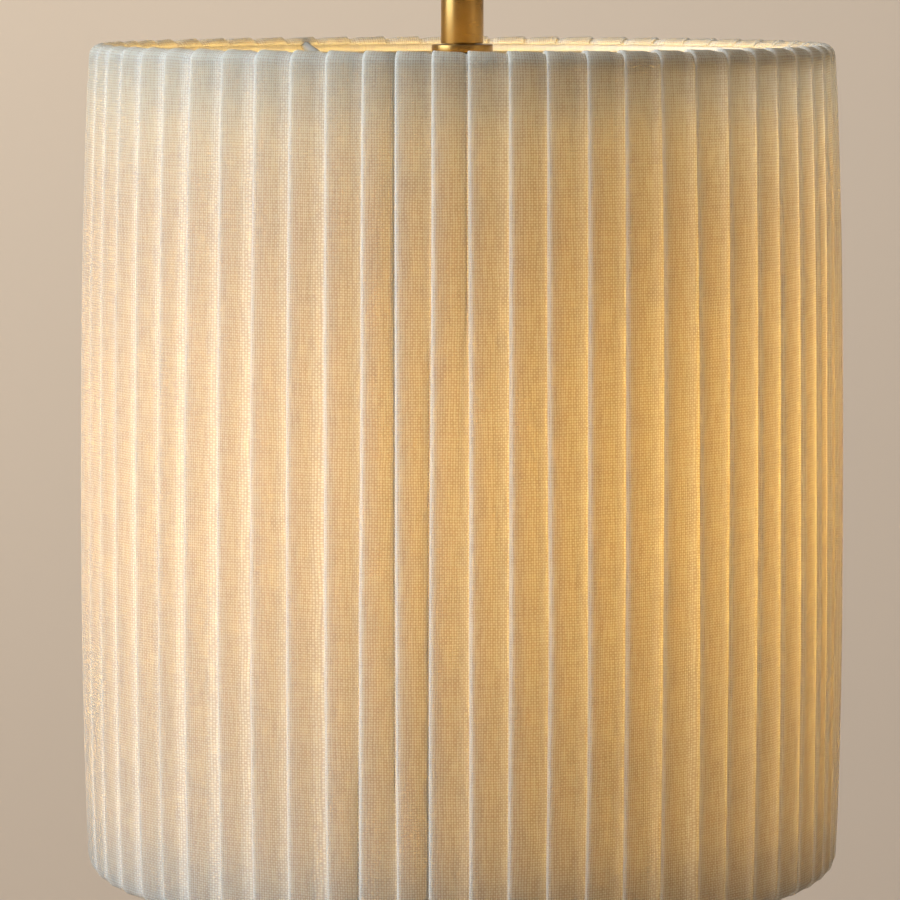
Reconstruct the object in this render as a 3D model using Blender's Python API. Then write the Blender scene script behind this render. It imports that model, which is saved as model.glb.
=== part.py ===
"""Hanging pleated drum lamp shade with its stem end, lamp holder and globe bulb.

Units are metres and +Z is up. The origin is the centre of the stem's upper end,
which is where the next length of stem carries the lamp. Every height below is
worked out downwards from there.
"""

import math

import bmesh
import bpy
from mathutils import Vector

MM = 0.001
FULL_TURN = 2 * math.pi

# Driving dimensions of the shade
TOP_RADIUS = 140 * MM  # outside of the pleats at the top rim
BOTTOM_RADIUS = 143 * MM
SHADE_HEIGHT = 312 * MM
BELLY = 3.2 * MM  # how far the pleats bow out at mid height
PLEATS = 60
PLEAT_STEP = 1.3 * MM  # height of each fold over the face beside it
FIRST_FOLD_ANGLE = math.radians(1.5)  # from +X, and from straight ahead
FACE_SHARE = 0.97  # part of each pleat that is face; the rest drops from the fold
CLOTH_THIN = 0.5 * MM
RING_WIRE = 1.5 * MM  # radius of the ring wire
ARM_WIRE = 1.75 * MM  # radius of the fitter arms' wire
BINDING = 0.4 * MM  # thickness of the tape
BINDING_CLEAR = 0.5 * MM  # tape to ring wire, both in flat facets
SHEET = 0.3 * MM  # diffuser sheet
SHEET_LAP = math.radians(5)
SHEET_RAMP = math.radians(14)
GAP = 0.35 * MM  # between the rolled sheet, the rings and the cloth
CLEAR = 0.3 * MM  # between hard pieces that touch
COVER_CLEAR = 0.5 * MM  # cloth to the sheet's lap, whose sides are flat between folds

# Fitter
ARMS = 3
FIRST_ARM_ANGLE = math.radians(118.5)
FITTER_DROP = 36 * MM  # hub plate's top below the rim
HUB_RIM = 10.25 * MM  # hub plate beyond the lamp holder's skirt
HUB_THICKNESS = 2.0 * MM
ARM_FOOT = 7 * MM  # flat length of an arm on the hub
ARM_TIP = 4 * MM  # flat length of an arm under the ring
ARM_INSET = 1.5 * MM  # arm's inner end to the holder's flange

# Stem
STEM_EXPOSED = 60 * MM  # stem above the rim
STEM_RADIUS = 8 * MM
STEM_WALL = 1.2 * MM
BUSH_LENGTH = 13 * MM
THREAD_RADIUS = 5.0 * MM  # M10 nipple
NIPPLE_BORE = 3.6 * MM
COLLAR_RADIUS = 11.5 * MM
COLLAR_THICKNESS = 3.0 * MM
COLLAR_DROP = 1.0 * MM  # collar's top below the rim

# Lamp holder
SHELL_RADIUS = 19.75 * MM  # the threaded skirt that the clamp ring runs on
CAP_RIM = 1.25 * MM  # cap beyond the skirt
CAP_HEIGHT = 25.5 * MM
CAP_WALL = 1.2 * MM
CAP_SHOULDER = 9 * MM
NUT_RADIUS = 8.5 * MM
NUT_THICKNESS = 3.0 * MM
NIPPLE_BELOW_NUT = 2.0 * MM
SHELL_WALL = 2.0 * MM
SHELL_LENGTH = 39.7 * MM
FLANGE_RIM = 3.25 * MM  # flange beyond the skirt
FLANGE_THICKNESS = 2.5 * MM
WASHER_THICKNESS = 0.8 * MM
WASHER_RIM = 6.25 * MM
CLAMP_RIM = 7.25 * MM
CLAMP_HEIGHT = 8 * MM
CLAMP_RUNNING = 0.5 * MM  # clearance of what slides on the skirt
HUB_RUNNING = 0.5 * MM
CORE_INSET = 2.75 * MM  # porcelain inside the skirt's outer face
CORE_LENGTH = 24 * MM
CORE_BORE = 2.5 * MM
SLEEVE_WALL = 1.0 * MM
SOCKET_RADIUS = 13.5 * MM  # inside of the screw shell
SOCKET_WALL = 0.6 * MM
SOCKET_LENGTH = 25.5 * MM
TERMINAL_OFFSET = 12.5 * MM
TERMINAL_RADIUS = 2.4 * MM
TERMINAL_HEIGHT = 2.2 * MM
GRUB_RADIUS = 1.5 * MM
GRUB_RISE = 6 * MM  # grub screw above the cap's lower edge
CONTACT_LENGTH = 16 * MM
CONTACT_WIDTH = 5 * MM
CONTACT_THICKNESS = 0.6 * MM

# Bulb
LAMP_CAP_RADIUS = 13.1 * MM
LAMP_CAP_WALL = 0.5 * MM
LAMP_CAP_LENGTH = 24.5 * MM
LAMP_CONTACT_RISE = 2.0 * MM  # tip contact above the cap's top
LAMP_CAP_SHOULDER = 4 * MM
LAMP_CAP_TOP = 8 * MM  # radius of the cap's flat top
LAMP_CAP_INSET = 1.0 * MM  # cap's lower end above the holder's
LAMP_LENGTH = 178 * MM
GLOBE_RADIUS = 62.5 * MM
GLASS = 1.0 * MM
NECK_RADIUS = 17 * MM
NECK_IN_CAP = 12 * MM  # glass that the cap holds
NECK_SHOULDER = 9 * MM  # below the cap, where the neck has its full radius
NECK_LENGTH = 22 * MM
NECK_FLARE = 1.5 * MM  # how much wider the neck is at its lower end
FILAMENTS = 4
FILAMENT_CIRCLE = 13 * MM
FILAMENT_LENGTH = 42 * MM
FILAMENT_RADIUS = 0.9 * MM
SUPPORT_THICKNESS = 0.8 * MM

# Widths that follow the holder's skirt
CAP_RADIUS = SHELL_RADIUS + CAP_RIM
FLANGE_RADIUS = SHELL_RADIUS + FLANGE_RIM
WASHER_RADIUS = SHELL_RADIUS + WASHER_RIM
CLAMP_RADIUS = SHELL_RADIUS + CLAMP_RIM
HUB_RADIUS = SHELL_RADIUS + HUB_RIM
CORE_RADIUS = SHELL_RADIUS - CORE_INSET

# Levels, from the stem's upper end down
RIM_Z = -STEM_EXPOSED
BASE_Z = RIM_Z - SHADE_HEIGHT
COLLAR_Z = RIM_Z - COLLAR_DROP
CAP_Z = COLLAR_Z - COLLAR_THICKNESS - CLEAR
NUT_Z = CAP_Z - CAP_WALL - CLEAR
NIPPLE_END_Z = NUT_Z - NUT_THICKNESS - NIPPLE_BELOW_NUT
HUB_Z = RIM_Z - FITTER_DROP
SHELL_Z = CAP_Z - CAP_HEIGHT - CLEAR
WASHER_Z = HUB_Z - HUB_THICKNESS - CLEAR
CLAMP_Z = WASHER_Z - WASHER_THICKNESS - CLEAR
SHELL_END_Z = SHELL_Z - SHELL_LENGTH
LAMP_TIP_Z = SHELL_END_Z + LAMP_CAP_INSET + LAMP_CAP_LENGTH + LAMP_CONTACT_RISE
CONTACT_Z = LAMP_TIP_Z + CLEAR + CONTACT_THICKNESS  # top of the centre contact's tongue
CORE_END_Z = CONTACT_Z + CLEAR
CORE_Z = CORE_END_Z + CORE_LENGTH
SOCKET_Z = CORE_END_Z - CLEAR
GLOBE_Z = LAMP_TIP_Z - LAMP_LENGTH + GLOBE_RADIUS

# Build-up of the rim, measured from the ring wire's centre
SHEET_IN = RING_WIRE + GAP
BINDING_IN = RING_WIRE + BINDING_CLEAR
COVER_IN = SHEET_IN + 2 * SHEET + GAP + COVER_CLEAR
COVER_OUT = COVER_IN + CLOTH_THIN + PLEAT_STEP
TOP_RING_RADIUS = TOP_RADIUS - COVER_OUT
BOTTOM_RING_RADIUS = BOTTOM_RADIUS - COVER_OUT
TOP_RING_Z = RIM_Z - COVER_OUT
BOTTOM_RING_Z = BASE_Z + COVER_OUT

ROUND = 32  # sides of a turned part
RING_SIDES = 48
SIDE_STEPS = 3  # levels down the side of the cover
WIRE_SIDES = 6


def clear_scene():
    for obj in list(bpy.data.objects):
        bpy.data.objects.remove(obj, do_unlink=True)


def make_material(name, colour, roughness, metallic=0.0):
    material = bpy.data.materials.new(name)
    material.use_nodes = True
    shader = material.node_tree.nodes["Principled BSDF"]
    shader.inputs["Base Color"].default_value = (*colour, 1.0)
    shader.inputs["Roughness"].default_value = roughness
    shader.inputs["Metallic"].default_value = metallic
    return material


def add_empty(name, z, parent=None):
    """A body's frame on the lamp's axis, at height z above the origin."""
    empty = bpy.data.objects.new(name, None)
    bpy.context.scene.collection.objects.link(empty)
    empty.parent = parent
    empty.location.z = z - (parent.location.z if parent else 0.0)
    return empty


def finish(name, mesh_builder, material, parent, z=0.0, smooth_angle=35):
    """Makes an object from a bmesh, hung from its body at height z above the origin."""
    bmesh.ops.remove_doubles(mesh_builder, verts=mesh_builder.verts, dist=1e-6)
    bmesh.ops.recalc_face_normals(mesh_builder, faces=mesh_builder.faces)
    mesh = bpy.data.meshes.new(name)
    mesh_builder.to_mesh(mesh)
    mesh_builder.free()
    mesh.materials.append(material)
    mesh.shade_smooth()
    mesh.set_sharp_from_angle(angle=math.radians(smooth_angle))
    obj = bpy.data.objects.new(name, mesh)
    bpy.context.scene.collection.objects.link(obj)
    obj.parent = parent
    obj.location.z = z - world_z(parent)
    return obj


def world_z(obj):
    height = 0.0
    while obj:
        height += obj.location.z
        obj = obj.parent
    return height


def turned(name, profile, material, parent, z=0.0, sides=ROUND):
    """Spins a closed profile of (radius, height) points about the lamp's axis."""
    builder = bmesh.new()
    ring = [builder.verts.new((radius, 0.0, height)) for radius, height in profile]
    for here, there in zip(ring, ring[1:] + ring[:1]):
        builder.edges.new((here, there))
    bmesh.ops.spin(
        builder,
        geom=builder.verts[:] + builder.edges[:],
        cent=(0, 0, 0),
        axis=(0, 0, 1),
        angle=FULL_TURN,
        steps=sides,
        use_merge=True,
    )
    return finish(name, builder, material, parent, z)


def disc(name, outer, inner, thickness, material, parent, z, sides=ROUND):
    """A flat ring, or a plain disc when inner is 0, whose top is at height z."""
    profile = [(inner, 0), (outer, 0), (outer, -thickness), (inner, -thickness)]
    return turned(name, profile, material, parent, z, sides)


def arc(centre, radius, start, end, count):
    """Points on an arc in the profile plane; angle 0 points away from the axis."""
    span = [math.radians(start + (end - start) * i / (count - 1)) for i in range(count)]
    return [
        (centre[0] + radius * math.cos(a), centre[1] + radius * math.sin(a))
        for a in span
    ]


def wire(name, points, radius, material, parent):
    """A bent wire through points given in the parent's frame."""
    curve = bpy.data.curves.new(name, "CURVE")
    curve.dimensions = "3D"
    curve.bevel_depth = radius
    curve.bevel_resolution = 2
    curve.use_fill_caps = True
    spline = curve.splines.new("POLY")
    spline.points.add(len(points) - 1)
    for target, point in zip(spline.points, points):
        target.co = (*point, 1.0)
    curve.materials.append(material)
    obj = bpy.data.objects.new(name, curve)
    bpy.context.scene.collection.objects.link(obj)
    obj.parent = parent
    return obj


# --- shade ---------------------------------------------------------------


def side_radius(share):
    """Radius of the ring-centre line at a share of the way down, with the belly."""
    straight = TOP_RING_RADIUS + (BOTTOM_RING_RADIUS - TOP_RING_RADIUS) * share
    return straight + BELLY * (1 - abs(2 * share - 1) ** 2.6)


def cover_path():
    """(centre point, direction) pairs from the top lip, down the side, to the bottom lip."""
    top, bottom = (TOP_RING_RADIUS, TOP_RING_Z), (BOTTOM_RING_RADIUS, BOTTOM_RING_Z)
    around_top = [(top, angle) for angle in (180, 135, 90, 45)]
    shares = [i / SIDE_STEPS for i in range(SIDE_STEPS + 1)]
    side = [
        ((side_radius(share), TOP_RING_Z + (BOTTOM_RING_Z - TOP_RING_Z) * share), 0)
        for share in shares
    ]
    around_bottom = [(bottom, -angle) for angle in (45, 90, 135, 180)]
    return around_top + side + around_bottom


def pleated_loop(builder, centre, angle, offset, step):
    """One closed loop round the drum; each pleat is thick at its fold and thin beyond it."""
    direction = Vector((math.cos(math.radians(angle)), math.sin(math.radians(angle))))
    loop = []
    for pleat in range(PLEATS):
        for share, rise in ((0.0, step), (FACE_SHARE, 0.0)):
            turn = FIRST_FOLD_ANGLE + FULL_TURN * (pleat + share) / PLEATS
            out = direction * (offset + rise)
            radius = centre[0] + out.x
            point = (radius * math.cos(turn), radius * math.sin(turn), centre[1] + out.y)
            loop.append(builder.verts.new(point))
    return loop


def bridge(builder, loops):
    """Joins a ring of loops into one closed skin."""
    for here, there in zip(loops, loops[1:] + loops[:1]):
        count = len(here)
        for i in range(count):
            j = (i + 1) % count
            builder.faces.new((here[i], here[j], there[j], there[i]))


def make_pleated_cover(material, parent):
    builder = bmesh.new()
    path = cover_path()
    outer = [pleated_loop(builder, c, a, COVER_IN + CLOTH_THIN, PLEAT_STEP) for c, a in path]
    inner = [pleated_loop(builder, c, a, COVER_IN, 0.0) for c, a in path]
    bridge(builder, outer + inner[::-1])
    finish("pleated_cover", builder, material, parent)


def make_diffuser(material, parent):
    """A sheet rolled into a cone, its outer end lapped over the start."""
    ends = (
        (TOP_RING_RADIUS, TOP_RING_Z),
        (BOTTOM_RING_RADIUS, BOTTOM_RING_Z),
    )
    total = FULL_TURN + SHEET_LAP
    builder = bmesh.new()
    loops = []
    steps = 74
    for radius, height in ends:
        inner, outer = [], []
        for i in range(steps + 1):
            turn = total * i / steps
            ramp = min(max((turn - (FULL_TURN - SHEET_RAMP)) / SHEET_RAMP, 0.0), 1.0)
            base = radius + SHEET_IN + ramp * (SHEET + GAP)
            for row, reach in ((inner, base), (outer, base + SHEET)):
                x, y = reach * math.cos(turn), reach * math.sin(turn)
                row.append(builder.verts.new((x, y, height)))
        loops.append(inner + outer[::-1])
        for i in range(steps):
            builder.faces.new((inner[i], inner[i + 1], outer[i + 1], outer[i]))
    count = len(loops[0])
    for i in range(count):
        j = (i + 1) % count
        builder.faces.new((loops[0][i], loops[0][j], loops[1][j], loops[1][i]))
    finish("diffuser_sheet", builder, material, parent)


def make_ring(name, radius, height, material, parent):
    profile = arc((radius, height), RING_WIRE, 0, 360, WIRE_SIDES + 1)[:-1]
    turned(name, profile, material, parent, sides=RING_SIDES)


def make_binding(name, radius, height, side, material, parent):
    """Tape folded over the ring wire; side is 1 over the top ring and -1 under the bottom one."""
    outer = arc((0, 0), BINDING_IN + BINDING, 50, 215, 4)
    inner = arc((0, 0), BINDING_IN, 50, 215, 4)
    profile = [(radius + x, height + side * y) for x, y in outer + inner[::-1]]
    turned(name, profile, material, parent, sides=RING_SIDES)


def make_fitter(material, parent):
    hole = SHELL_RADIUS + HUB_RUNNING
    disc("hub_washer", HUB_RADIUS, hole, HUB_THICKNESS, material, parent, HUB_Z)
    foot = HUB_Z + CLEAR + ARM_WIRE
    tip = TOP_RING_Z - RING_WIRE - CLEAR - ARM_WIRE
    inner = FLANGE_RADIUS + ARM_INSET
    profile = [
        (inner, foot),
        (inner + ARM_FOOT, foot),
        (TOP_RING_RADIUS - ARM_TIP, tip),
        (TOP_RING_RADIUS + RING_WIRE * 0.5, tip),
    ]
    for arm in range(ARMS):
        turn = FIRST_ARM_ANGLE + FULL_TURN * arm / ARMS
        points = [
            (r * math.cos(turn), r * math.sin(turn), z - world_z(parent))
            for r, z in profile
        ]
        wire(f"fitter_arm_{arm + 1}", points, ARM_WIRE, material, parent)


# --- stem and lamp holder ------------------------------------------------


def make_stem(brass, parent):
    bore = STEM_RADIUS - STEM_WALL
    length = -COLLAR_Z - CLEAR
    disc("stem_tube", STEM_RADIUS, bore, length, brass, parent, 0.0)
    bush = bore - CLEAR
    thread = THREAD_RADIUS + CLEAR
    disc("stem_top_bush", bush, thread, BUSH_LENGTH, brass, parent, -CLEAR)
    bottom = COLLAR_Z + BUSH_LENGTH
    disc("stem_bottom_bush", bush, thread, BUSH_LENGTH - CLEAR, brass, parent, bottom)
    disc("stem_collar", COLLAR_RADIUS, thread, COLLAR_THICKNESS, brass, parent, COLLAR_Z)
    nipple = bottom - CLEAR - NIPPLE_END_Z
    disc("holder_nipple", THREAD_RADIUS, NIPPLE_BORE, nipple, brass, parent, bottom - CLEAR)


def cut_hole(obj, radius, location, rotation):
    """Drills a round hole with a Boolean whose cutter isn't part of the object."""
    builder = bmesh.new()
    bmesh.ops.create_cone(
        builder,
        cap_ends=True,
        segments=16,
        radius1=radius,
        radius2=radius,
        depth=3 * CAP_WALL,
    )
    mesh = bpy.data.meshes.new(obj.name + "_drill")
    builder.to_mesh(mesh)
    builder.free()
    cutter = bpy.data.objects.new(obj.name + "_drill", mesh)
    bpy.context.scene.collection.objects.link(cutter)
    cutter.location, cutter.rotation_euler = location, rotation
    cutter.hide_render = True
    cutter.display_type = "WIRE"
    drill = obj.modifiers.new("drill", "BOOLEAN")
    drill.operation = "DIFFERENCE"
    drill.object = cutter


def make_holder_cap(brass, steel, parent):
    """Domed cup over the wiring, locked by a grub screw in its side."""
    hole = THREAD_RADIUS + CLEAR
    shoulder = CAP_SHOULDER
    outer = [(hole, 0), (CAP_RADIUS - shoulder, 0)]
    outer += arc((CAP_RADIUS - shoulder, -shoulder), shoulder, 70, 0, 5)
    outer += [(CAP_RADIUS, -CAP_HEIGHT)]
    inner = [(CAP_RADIUS - CAP_WALL, -CAP_HEIGHT)]
    inner += arc((CAP_RADIUS - shoulder, -shoulder), shoulder - CAP_WALL, 0, 70, 5)
    inner += [(CAP_RADIUS - shoulder, -CAP_WALL), (hole, -CAP_WALL)]
    cap = turned("holder_cap", outer + inner, brass, parent, CAP_Z)
    screw_z = CAP_Z - CAP_HEIGHT + GRUB_RISE
    middle = CAP_RADIUS - CAP_WALL / 2
    cut_hole(cap, GRUB_RADIUS + CLEAR, (0, middle, screw_z), (math.pi / 2, 0, 0))

    builder = bmesh.new()
    length = CAP_RADIUS - CORE_RADIUS - CLEAR
    bmesh.ops.create_cone(
        builder,
        cap_ends=True,
        segments=16,
        radius1=GRUB_RADIUS,
        radius2=GRUB_RADIUS,
        depth=length,
    )
    grub = finish("cap_grub_screw", builder, steel, parent, screw_z)
    grub.location.y = CORE_RADIUS + CLEAR + length / 2
    grub.rotation_euler.x = math.pi / 2


def make_lock_nut(steel, parent):
    """Six-sided nut with a round hole."""
    hole = THREAD_RADIUS + CLEAR
    builder = bmesh.new()
    loops = []
    for radius, level in (
        (NUT_RADIUS, 0.0),
        (NUT_RADIUS, -NUT_THICKNESS),
        (hole, -NUT_THICKNESS),
        (hole, 0.0),
    ):
        loop = []
        for i in range(24):
            turn = FULL_TURN * i / 24
            flat = math.cos(math.pi / 6) / math.cos(turn % (math.pi / 3) - math.pi / 6)
            reach = radius * flat if radius == NUT_RADIUS else radius
            loop.append(builder.verts.new((reach * math.cos(turn), reach * math.sin(turn), level)))
        loops.append(loop)
    bridge(builder, loops)
    finish("cap_lock_nut", builder, steel, parent, NUT_Z)


def make_holder_shell(brass, parent):
    """Threaded skirt with the flange that the hub is clamped against."""
    inner = SHELL_RADIUS - SHELL_WALL
    flange_low = HUB_Z + CLEAR - SHELL_Z
    flange_high = flange_low + FLANGE_THICKNESS
    profile = [
        (inner, 0),
        (CAP_RADIUS, 0),
        (CAP_RADIUS, flange_high),
        (FLANGE_RADIUS, flange_high),
        (FLANGE_RADIUS, flange_low),
        (SHELL_RADIUS, flange_low),
        (SHELL_RADIUS, -SHELL_LENGTH),
        (inner, -SHELL_LENGTH),
    ]
    turned("holder_shell", profile, brass, parent, SHELL_Z)


def make_holder_inside(porcelain, plastic, brass, spring, parent):
    disc("porcelain_core", CORE_RADIUS, CORE_BORE, CORE_LENGTH, porcelain, parent, CORE_Z)
    socket = SOCKET_RADIUS + SOCKET_WALL
    disc("screw_shell", socket, SOCKET_RADIUS, SOCKET_LENGTH, brass, parent, SOCKET_Z)
    inner = SHELL_RADIUS - SHELL_WALL - CLEAR - SLEEVE_WALL
    disc("insulating_sleeve", inner + SLEEVE_WALL, inner, SOCKET_LENGTH, plastic, parent, SOCKET_Z)
    for name, side in (("terminal_screw_live", 1), ("terminal_screw_neutral", -1)):
        top = CORE_Z + CLEAR + TERMINAL_HEIGHT
        screw = disc(name, TERMINAL_RADIUS, 0.0, TERMINAL_HEIGHT, brass, parent, top, 16)
        screw.location.x = side * TERMINAL_OFFSET
    builder = bmesh.new()
    bmesh.ops.create_cube(builder, size=1.0)
    size = (CONTACT_LENGTH, CONTACT_WIDTH, CONTACT_THICKNESS)
    bmesh.ops.scale(builder, vec=size, verts=builder.verts)
    finish("centre_contact", builder, spring, parent, CONTACT_Z - CONTACT_THICKNESS / 2)


# --- bulb ----------------------------------------------------------------


def globe_profile(shrink):
    """Neck and globe as (radius, height) from the globe's centre, moved in by shrink."""
    rise = LAMP_LENGTH - GLOBE_RADIUS - LAMP_CAP_LENGTH - LAMP_CONTACT_RISE
    cap_inside = LAMP_CAP_RADIUS - LAMP_CAP_WALL - CLEAR
    neck = [
        (cap_inside - shrink, rise + NECK_IN_CAP),
        (cap_inside - shrink, rise - GLASS),
        (NECK_RADIUS - shrink, rise - NECK_SHOULDER),
        (NECK_RADIUS + NECK_FLARE - shrink, rise - NECK_LENGTH),
    ]
    ball = arc((0, 0), GLOBE_RADIUS - shrink, 65, -90, 12)
    ball[-1] = (0.0, -GLOBE_RADIUS + shrink)
    return neck + ball


def make_globe(glass, parent):
    outer, inner = globe_profile(0.0), globe_profile(GLASS)
    turned("bulb_globe", outer + inner[::-1], glass, parent, GLOBE_Z)


def make_lamp_cap(steel, dark, solder, parent):
    shoulder = LAMP_CAP_SHOULDER
    top = LAMP_CAP_TOP
    outer = [(top, 0), (LAMP_CAP_RADIUS, -shoulder), (LAMP_CAP_RADIUS, -LAMP_CAP_LENGTH)]
    wall = LAMP_CAP_WALL
    inner = [
        (LAMP_CAP_RADIUS - wall, -LAMP_CAP_LENGTH),
        (LAMP_CAP_RADIUS - wall, -shoulder - wall / 2),
        (top, -wall * 1.2),
    ]
    level = LAMP_TIP_Z - LAMP_CONTACT_RISE
    turned("bulb_cap", outer + inner, steel, parent, level)
    contact = 2.4 * MM
    hole = contact + CLEAR
    insulator = [(hole, 0), (5 * MM, 0), (top - CLEAR, -1.0 * MM), (hole, -1.0 * MM)]
    turned("bulb_insulator", insulator, dark, parent, level + 1.2 * MM)
    tip = [(0, 0), (contact, -0.6 * MM), (contact, -2.6 * MM), (0, -2.6 * MM)]
    turned("bulb_tip_contact", tip, solder, parent, LAMP_TIP_Z, 20)


def make_filaments(glass, glow, mica, parent):
    """Glass post with two round supports and the LED sticks between them."""
    post = 3.5 * MM
    foot = 6 * MM
    top = LAMP_TIP_Z - LAMP_CONTACT_RISE - LAMP_CAP_LENGTH + 8 * MM
    low_support = GLOBE_Z - FILAMENT_LENGTH / 2
    high_support = low_support + FILAMENT_LENGTH + SUPPORT_THICKNESS
    length = top - low_support + 6 * MM
    profile = [(0, 0), (foot, 0), (post, -10 * MM), (post, -length), (0, -length)]
    turned("bulb_post", profile, glass, parent, top, 20)
    reach = FILAMENT_CIRCLE + 3 * MM
    hole = post + CLEAR
    for name, level in (
        ("filament_support_upper", high_support),
        ("filament_support_lower", low_support),
    ):
        disc(name, reach, hole, SUPPORT_THICKNESS, mica, parent, level, 24)
    for i in range(FILAMENTS):
        turn = FULL_TURN * (i + 0.5) / FILAMENTS
        stick = disc(
            f"led_filament_{i + 1}",
            FILAMENT_RADIUS,
            0.0,
            FILAMENT_LENGTH - 2 * CLEAR,
            glow,
            parent,
            low_support + FILAMENT_LENGTH - CLEAR,
            8,
        )
        stick.location.x = FILAMENT_CIRCLE * math.cos(turn)
        stick.location.y = FILAMENT_CIRCLE * math.sin(turn)


def main():
    clear_scene()
    linen = make_material("linen", (0.80, 0.72, 0.60), 0.95)
    tape = make_material("cotton_tape", (0.84, 0.79, 0.70), 0.95)
    sheet = make_material("diffuser_film", (0.92, 0.90, 0.85), 0.6)
    paint = make_material("ivory_paint", (0.80, 0.77, 0.70), 0.5)
    brass = make_material("aged_brass", (0.60, 0.40, 0.15), 0.3, 1.0)
    bright = make_material("plain_brass", (0.75, 0.58, 0.28), 0.35, 1.0)
    steel = make_material("zinc_steel", (0.60, 0.60, 0.60), 0.35, 1.0)
    spring = make_material("spring_bronze", (0.70, 0.45, 0.25), 0.35, 1.0)
    porcelain = make_material("porcelain", (0.90, 0.89, 0.86), 0.2)
    plastic = make_material("white_plastic", (0.85, 0.85, 0.83), 0.45)
    glass = make_material("opal_glass", (0.98, 0.93, 0.82), 0.2)
    clear = make_material("clear_glass", (0.90, 0.92, 0.92), 0.05)
    glow = make_material("led_phosphor", (0.95, 0.75, 0.30), 0.5)
    mica = make_material("mica", (0.75, 0.72, 0.62), 0.4)
    dark = make_material("black_glass", (0.03, 0.03, 0.04), 0.2)
    solder = make_material("solder", (0.65, 0.65, 0.66), 0.4, 1.0)

    holder = add_empty("holder_frame", 0.0)
    washer_body = add_empty("washer_frame", WASHER_Z, holder)
    clamp_body = add_empty("clamp_frame", 0.0, washer_body)
    clamp_body.location.z = CLAMP_Z - WASHER_Z
    shade = add_empty("shade_frame", 0.0, washer_body)
    shade.location.z = HUB_Z - WASHER_Z
    bulb = add_empty("bulb_frame", LAMP_TIP_Z, holder)

    make_stem(brass, holder)
    make_holder_cap(brass, steel, holder)
    make_lock_nut(steel, holder)
    make_holder_shell(brass, holder)
    make_holder_inside(porcelain, plastic, bright, spring, holder)

    running = SHELL_RADIUS + CLAMP_RUNNING
    disc("fibre_washer", WASHER_RADIUS, running, WASHER_THICKNESS, tape, washer_body, WASHER_Z)
    disc("clamp_ring", CLAMP_RADIUS, running, CLAMP_HEIGHT, brass, clamp_body, CLAMP_Z, 48)

    make_fitter(paint, shade)
    make_ring("top_ring", TOP_RING_RADIUS, TOP_RING_Z, paint, shade)
    make_ring("bottom_ring", BOTTOM_RING_RADIUS, BOTTOM_RING_Z, paint, shade)
    make_binding("top_binding", TOP_RING_RADIUS, TOP_RING_Z, 1, tape, shade)
    make_binding("bottom_binding", BOTTOM_RING_RADIUS, BOTTOM_RING_Z, -1, tape, shade)
    make_diffuser(sheet, shade)
    make_pleated_cover(linen, shade)

    make_globe(glass, bulb)
    make_lamp_cap(steel, dark, solder, bulb)
    make_filaments(clear, glow, mica, bulb)


main()
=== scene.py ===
"""Looks of the hanging pleated lamp shade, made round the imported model.

The model gives every size and place. This file folds the linen, rolls the diffuser, turns the brass
and glass pieces, gives each piece its finish, and sets the stage. Lengths are metres.
"""

import math
import random

import bmesh
import bpy
from bpy.props import FloatProperty, FloatVectorProperty, IntProperty, PointerProperty
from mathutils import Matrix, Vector, noise


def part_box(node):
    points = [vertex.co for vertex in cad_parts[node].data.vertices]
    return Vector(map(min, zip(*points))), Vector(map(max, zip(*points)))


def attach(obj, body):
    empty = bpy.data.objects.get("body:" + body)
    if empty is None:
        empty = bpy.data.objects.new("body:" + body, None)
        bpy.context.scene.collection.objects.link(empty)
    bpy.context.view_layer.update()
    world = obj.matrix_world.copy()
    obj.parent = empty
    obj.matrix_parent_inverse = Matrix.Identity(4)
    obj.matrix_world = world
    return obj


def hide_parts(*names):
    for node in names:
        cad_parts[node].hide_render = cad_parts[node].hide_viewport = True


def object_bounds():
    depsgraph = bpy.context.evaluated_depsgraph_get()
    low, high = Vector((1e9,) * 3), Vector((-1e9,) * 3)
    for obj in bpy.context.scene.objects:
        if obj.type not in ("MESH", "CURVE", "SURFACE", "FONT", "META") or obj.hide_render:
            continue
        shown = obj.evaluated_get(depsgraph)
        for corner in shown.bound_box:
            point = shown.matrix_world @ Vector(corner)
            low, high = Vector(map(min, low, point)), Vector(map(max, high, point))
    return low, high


bl_info = {
    "name": "Pleated lamp shade",
    "version": (1, 0, 0),
    "blender": (4, 5, 0),
    "location": "3D View > Sidebar > Lamp Shade",
    "description": "Builds the cloth, metal and glass of a hanging pleated lamp shade",
    "category": "Object",
}

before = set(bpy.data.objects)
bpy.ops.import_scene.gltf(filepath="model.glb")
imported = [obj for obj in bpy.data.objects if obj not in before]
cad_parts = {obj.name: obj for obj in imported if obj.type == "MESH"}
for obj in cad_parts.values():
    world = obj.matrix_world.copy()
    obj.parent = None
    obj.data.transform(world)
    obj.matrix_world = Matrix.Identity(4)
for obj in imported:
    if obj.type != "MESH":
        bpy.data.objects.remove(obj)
CAD_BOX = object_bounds()

MM = 0.001
FULL_TURN = 2 * math.pi
SEED = 7


# --- sizes and colours a user would change --------------------------------


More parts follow.
